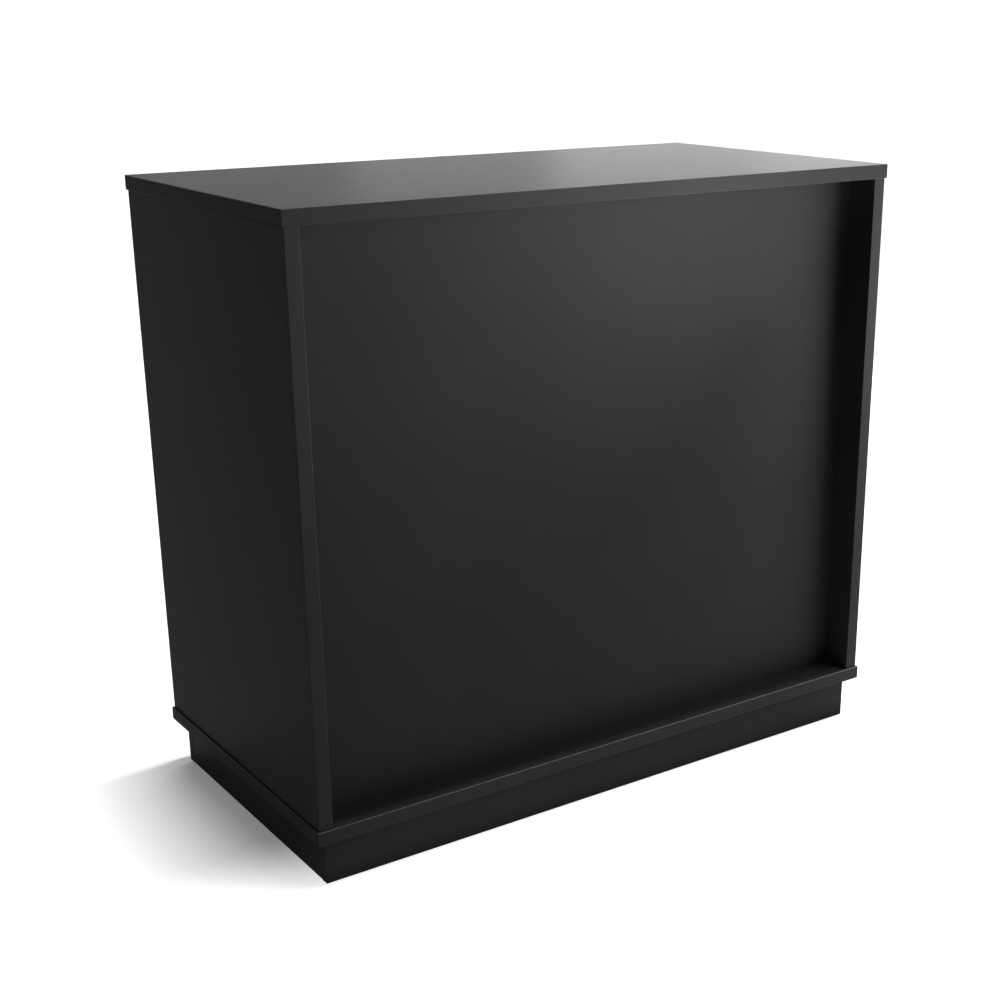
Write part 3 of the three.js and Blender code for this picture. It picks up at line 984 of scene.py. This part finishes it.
def screw_turn(tree, given):
    """A rotation that faces the way its point says, with a chance turn about that way."""
    facing = add_node(tree, "GeometryNodeInputNamedAttribute", Name="facing")
    facing.data_type = "FLOAT_VECTOR"
    aligned = add_node(tree, "FunctionNodeAlignRotationToVector")
    aligned.axis = "Z"
    wire(tree, facing.outputs["Attribute"], aligned.inputs["Vector"])
    chance = add_node(tree, "FunctionNodeRandomValue")
    chance.data_type = "FLOAT"
    chance.inputs[RANDOM_FLOAT_MAX].default_value = FULL_TURN
    wire(tree, given["Seed"], chance.inputs["Seed"])
    twist = add_node(tree, "FunctionNodeAxisAngleToRotation", Axis=(0, 0, 1))
    wire(tree, chance.outputs[RANDOM_FLOAT_VALUE], twist.inputs["Angle"])
    turned = add_node(tree, "FunctionNodeRotateRotation")
    turned.rotation_space = "LOCAL"
    wire(tree, aligned.outputs["Rotation"], turned.inputs["Rotation"])
    wire(tree, twist.outputs["Rotation"], turned.inputs["Rotate By"])
    return turned.outputs["Rotation"]


print(f"a screw head with {SCREW_SIDES} sides and a recess set by {RECESS_LABELS}")

# %% Screw tree
SCREW_LABELS = ("Foot diameter", "Crown diameter", "Head height", "Sink") + RECESS_LABELS


def screw_tree():
    """A tree that sets a cross-recessed screw head on every point of a mesh."""
    tree = bpy.data.node_groups.new("screws_on_points", "GeometryNodeTree")
    tree.interface.new_socket("Geometry", in_out="INPUT", socket_type="NodeSocketGeometry")
    for label in SCREW_LABELS:
        tree.interface.new_socket(label, in_out="INPUT", socket_type="NodeSocketFloat")
    tree.interface.new_socket("Seed", in_out="INPUT", socket_type="NodeSocketInt")
    tree.interface.new_socket("Finish", in_out="INPUT", socket_type="NodeSocketMaterial")
    tree.interface.new_socket("Geometry", in_out="OUTPUT", socket_type="NodeSocketGeometry")
    given = add_node(tree, "NodeGroupInput").outputs
    placed = add_node(tree, "GeometryNodeInstanceOnPoints")
    wire(tree, given["Geometry"], placed.inputs["Points"])
    wire(tree, screw_head(tree, given), placed.inputs["Instance"])
    wire(tree, screw_turn(tree, given), placed.inputs["Rotation"])
    real = add_node(tree, "GeometryNodeRealizeInstances")
    wire(tree, placed.outputs["Instances"], real.inputs["Geometry"])
    coated = add_node(tree, "GeometryNodeSetMaterial")
    wire(tree, real.outputs["Geometry"], coated.inputs["Geometry"])
    wire(tree, given["Finish"], coated.inputs["Material"])
    wire(tree, coated.outputs["Geometry"], add_node(tree, "NodeGroupOutput").inputs["Geometry"])
    return tree


SCREW_TREE = screw_tree()
SCREW_SOCKETS = [item for item in SCREW_TREE.interface.items_tree if item.in_out == "INPUT"]
SCREW_INPUTS = {item.name: item.identifier for item in SCREW_SOCKETS}
print(f"screw tree with {len(SCREW_TREE.nodes)} nodes and inputs {list(SCREW_INPUTS)}")

# %% [markdown]
# Each row of screws is one mesh of points, placed from the pieces that the screws hold. Hinge and strike
# screws are countersunk and sit a little under the face. The corner blocks have pan heads, which stand on
# the wood.

# %% Screw places
BLOCK_SCREW_SHARES = (0.3, 0.7)


def leaf_spots(side, moving):
    """The countersunk holes of a side's three leaves of one kind."""
    spots = []
    for level in LEVELS:
        leaf = leaf_frame(side, level, moving)
        off = leaf.to_3x3() @ Vector((0, 1, 0))
        for along in SCREW_ROW:
            spots.append((leaf @ Vector((PLATE_MIDDLE, LEAF_FACE, along)), off))
    return spots


def block_spots():
    """Two screws in the sloping face of each corner block."""
    spots = []
    for corner, (x, y) in CORNERS.items():
        low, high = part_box("corner_block_" + corner)
        middle = (low + high) / 2
        slope = Vector((-x, -y, 0)).normalized()
        for share in BLOCK_SCREW_SHARES:
            spots.append((Vector((middle.x, middle.y, low.z + share * (high.z - low.z))), slope))
    return spots


def strike_spots(*names):
    """The screw in the middle of each strike plate, which faces down."""
    spots = []
    for name in names:
        low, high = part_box(name)
        middle = (low + high) / 2
        spots.append((Vector((middle.x, middle.y, low.z)), Vector((0, 0, -1))))
    return spots


FIXED_SPOTS = leaf_spots("left", False) + leaf_spots("right", False)
BLOCK_SPOTS = block_spots()
TOP_SPOTS = strike_spots(*(f"top_strike_plate_{side}" for side in SIDES))
print(f"{len(FIXED_SPOTS)} screws in fixed leaves, {len(BLOCK_SPOTS)} in blocks, {len(TOP_SPOTS)} in top")

# %% Screw rows
HINGE_RECESS = (0.0046, 0.0010, 0.0011)
STRIKE_RECESS = (0.0036, 0.0008, 0.0009)
BLOCK_RECESS = (0.0044, 0.0010, 0.0014)
FRONT_HINGE_SEED = 3
SIDE_HINGE_SEED = 5
SIDE_STRIKE_SEED = 7
TOP_STRIKE_SEED = 9
BLOCK_SEED = 11


def screw_sizes(foot, crown, height, sink, recess):
    """The inputs of the screw tree for one kind of screw, its recess as length, width and depth."""
    return dict(zip(SCREW_LABELS, (foot, crown, height, sink, *recess)))


def screw_row(name, body, spots, sizes, seed):
    """Screws on a body, from pairs of a place and the way the head faces."""
    places, facings = zip(*spots)
    mesh = bpy.data.meshes.new(name)
    mesh.from_pydata(places, [], [])
    ways = mesh.attributes.new("facing", "FLOAT_VECTOR", "POINT")
    for way, facing in zip(ways.data, facings):
        way.vector = facing
    row = bpy.data.objects.new(name, mesh)
    bpy.context.scene.collection.objects.link(row)
    screws = row.modifiers.new("screws", "NODES")
    screws.node_group = SCREW_TREE
    for label, value in {**sizes, "Seed": seed, "Finish": SCREW_STEEL}.items():
        screws[SCREW_INPUTS[label]] = value
    stand_for(settle(row), body, "pin_steel")
    print(f"{name}: {len(spots)} screws, {len(row.data.polygons)} faces on {body}")


HINGE_SCREW = screw_sizes(foot=0.0043, crown=0.0082, height=0.0019, sink=0.00195, recess=HINGE_RECESS)
STRIKE_SCREW = screw_sizes(foot=0.0034, crown=0.0064, height=0.0015, sink=0.00155, recess=STRIKE_RECESS)
BLOCK_SCREW = screw_sizes(foot=0.0082, crown=0.0064, height=0.0024, sink=0.0, recess=BLOCK_RECESS)
screw_row("front_hinge_screws", "front", FIXED_SPOTS, HINGE_SCREW, FRONT_HINGE_SEED)
for side in SIDES:
    board = f"{side}_side"
    screw_row(f"{board}_hinge_screws", board, leaf_spots(side, True), HINGE_SCREW, SIDE_HINGE_SEED)
    plate = strike_spots(f"{board}_strike_plate")
    screw_row(f"{board}_strike_screw", board, plate, STRIKE_SCREW, SIDE_STRIKE_SEED)
screw_row("top_strike_screws", "counter", TOP_SPOTS, STRIKE_SCREW, TOP_STRIKE_SEED)
screw_row("corner_block_screws", "base", BLOCK_SPOTS, BLOCK_SCREW, BLOCK_SEED)

# %% [markdown]
# ### Dowels
# The front panel stands on three beech dowels and carries the top on three more. A dowel is pressed with
# flutes that let the glue and the air out, and its ends are rounded so that it finds its hole. Both
# follow from one turned profile whose radius dips round the turn.

# %% Dowels
DOWEL_RADIUS = 0.005
DOWEL_FLUTES = 16
DOWEL_SIDES = 6 * DOWEL_FLUTES
FLUTE_DEPTH = 0.00045
DOWEL_NOSE = [
    (0.0, 0.0), (0.0028, 0.0), (0.0033, 0.0003), (0.0042, 0.0016), (0.0046, 0.0026), (DOWEL_RADIUS, 0.0036),
]


def dowel_profile(length):
    """A dowel from one rounded end to the other."""
    upper = [(radius, length - height) for radius, height in reversed(DOWEL_NOSE)]
    return DOWEL_NOSE + upper


for level in ("base", "top"):
    for spot in ("left", "middle", "right"):
        name = f"{level}_dowel_{spot}"
        low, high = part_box(name)
        foot = Matrix.Translation(((low.x + high.x) / 2, (low.y + high.y) / 2, low.z))
        work = bmesh.new()
        turn_shape(work, dowel_profile(high.z - low.z), foot, DOWEL_SIDES, DOWEL_FLUTES, FLUTE_DEPTH)
        bmesh.ops.recalc_face_normals(work, faces=work.faces)
        stand_for(add_piece("fluted_" + name, work, [BEECH]), "front", "dowel_beech", name)
print(f"6 dowels of {1000 * (high.z - low.z):.0f} mm with {DOWEL_FLUTES} flutes")

# %% [markdown]
# ### Magnets, strike plates and glides
# Round catch magnets sit in the deck and in the top edge of the sides. Each is a steel cup round a disc,
# with a fine groove between. They pull on steel strike plates that are dished for a screw. The glides are
# moulded buttons with a nail hole. All are turned shapes: only the profile differs, with heights from the
# seat up.

# %% Magnet, strike plate and glide profiles
EASE = 0.0003
CATCH_RADIUS = 0.0080
MAGNET_HEIGHT = 0.0040
CUP_INSIDE = 0.00675
CUP_EASE = 0.00015
DISC_RADIUS = 0.0064
DISC_EASE = 0.0002
GROOVE_FLOOR = 0.0035
STRIKE_HEIGHT = 0.0020
STRIKE_EASE = 0.0004
DISH_RADIUS = 0.0034
DISH_FLOOR_RADIUS = 0.0017
DISH_FLOOR = 0.0003
GLIDE_RADIUS = 0.0120
GLIDE_HEIGHT = 0.0030
GLIDE_SHOULDER = [(GLIDE_RADIUS, 0.0019), (0.0117, 0.0025), (0.0110, GLIDE_HEIGHT)]
NAIL_HOLE = [(0.0034, GLIDE_HEIGHT), (0.0031, 0.0026), (0.0029, 0.0014), (0.0, 0.0014)]


def eased_foot(radius):
    """The seat of a turned piece and the eased edge round it."""
    return [(0.0, 0.0), (radius - EASE, 0.0), (radius, EASE)]


MAGNET_PROFILE = eased_foot(CATCH_RADIUS) + [
    (CATCH_RADIUS, MAGNET_HEIGHT - EASE),
    (CATCH_RADIUS - EASE, MAGNET_HEIGHT),
    (CUP_INSIDE + CUP_EASE, MAGNET_HEIGHT),
    (CUP_INSIDE, MAGNET_HEIGHT - CUP_EASE),
    (CUP_INSIDE, GROOVE_FLOOR),
    (DISC_RADIUS, GROOVE_FLOOR),
    (DISC_RADIUS, MAGNET_HEIGHT - DISC_EASE),
    (DISC_RADIUS - DISC_EASE, MAGNET_HEIGHT),
    (0.0, MAGNET_HEIGHT),
]
STRIKE_PROFILE = eased_foot(CATCH_RADIUS) + [
    (CATCH_RADIUS, STRIKE_HEIGHT - STRIKE_EASE),
    (CATCH_RADIUS - STRIKE_EASE, STRIKE_HEIGHT),
    (DISH_RADIUS, STRIKE_HEIGHT),
    (DISH_FLOOR_RADIUS, DISH_FLOOR),
    (0.0, DISH_FLOOR),
]
GLIDE_PROFILE = eased_foot(GLIDE_RADIUS) + GLIDE_SHOULDER + NAIL_HOLE
print(f"profiles of {len(MAGNET_PROFILE)}, {len(STRIKE_PROFILE)} and {len(GLIDE_PROFILE)} points")

# %% Magnets, strike plates and glides
UP, DOWN = 1, -1


def turned_piece(prefix, name, profile, finish, body, slot, facing):
    """A turned piece on its node's place, with its seat below it or above it."""
    low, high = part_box(name)
    seat = low.z if facing == UP else high.z
    stand = Matrix.Translation(((low.x + high.x) / 2, (low.y + high.y) / 2, seat))
    if facing == DOWN:
        stand = stand @ Matrix.Rotation(math.pi, 4, "X")
    work = bmesh.new()
    turn_shape(work, profile, stand)
    bmesh.ops.recalc_face_normals(work, faces=work.faces)
    stand_for(add_piece(prefix + name, work, [finish]), body, slot, name)


for side in SIDES:
    board = f"{side}_side"
    turned_piece("cup_", f"deck_magnet_{side}", MAGNET_PROFILE, NICKEL, "base", "magnet_nickel", UP)
    turned_piece("cup_", f"{board}_magnet", MAGNET_PROFILE, NICKEL, board, "magnet_nickel", UP)
    turned_piece("dished_", f"{board}_strike_plate", STRIKE_PROFILE, ZINC, board, "strike_steel", DOWN)
    top_plate = f"top_strike_plate_{side}"
    turned_piece("dished_", top_plate, STRIKE_PROFILE, ZINC, "counter", "strike_steel", DOWN)
for corner in CORNERS:
    turned_piece("moulded_", "glide_" + corner, GLIDE_PROFILE, NYLON, "base", "glide_nylon", DOWN)
print("4 magnets, 4 strike plates and 4 glides")

# %% [markdown]
# ## Sizes
# The dressed bar must be as large as the CAD model and no larger. Its box is printed here.

# %% Sizes
low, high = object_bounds()
print(f"visual box {[round(value, 4) for value in low]} to {[round(value, 4) for value in high]}")
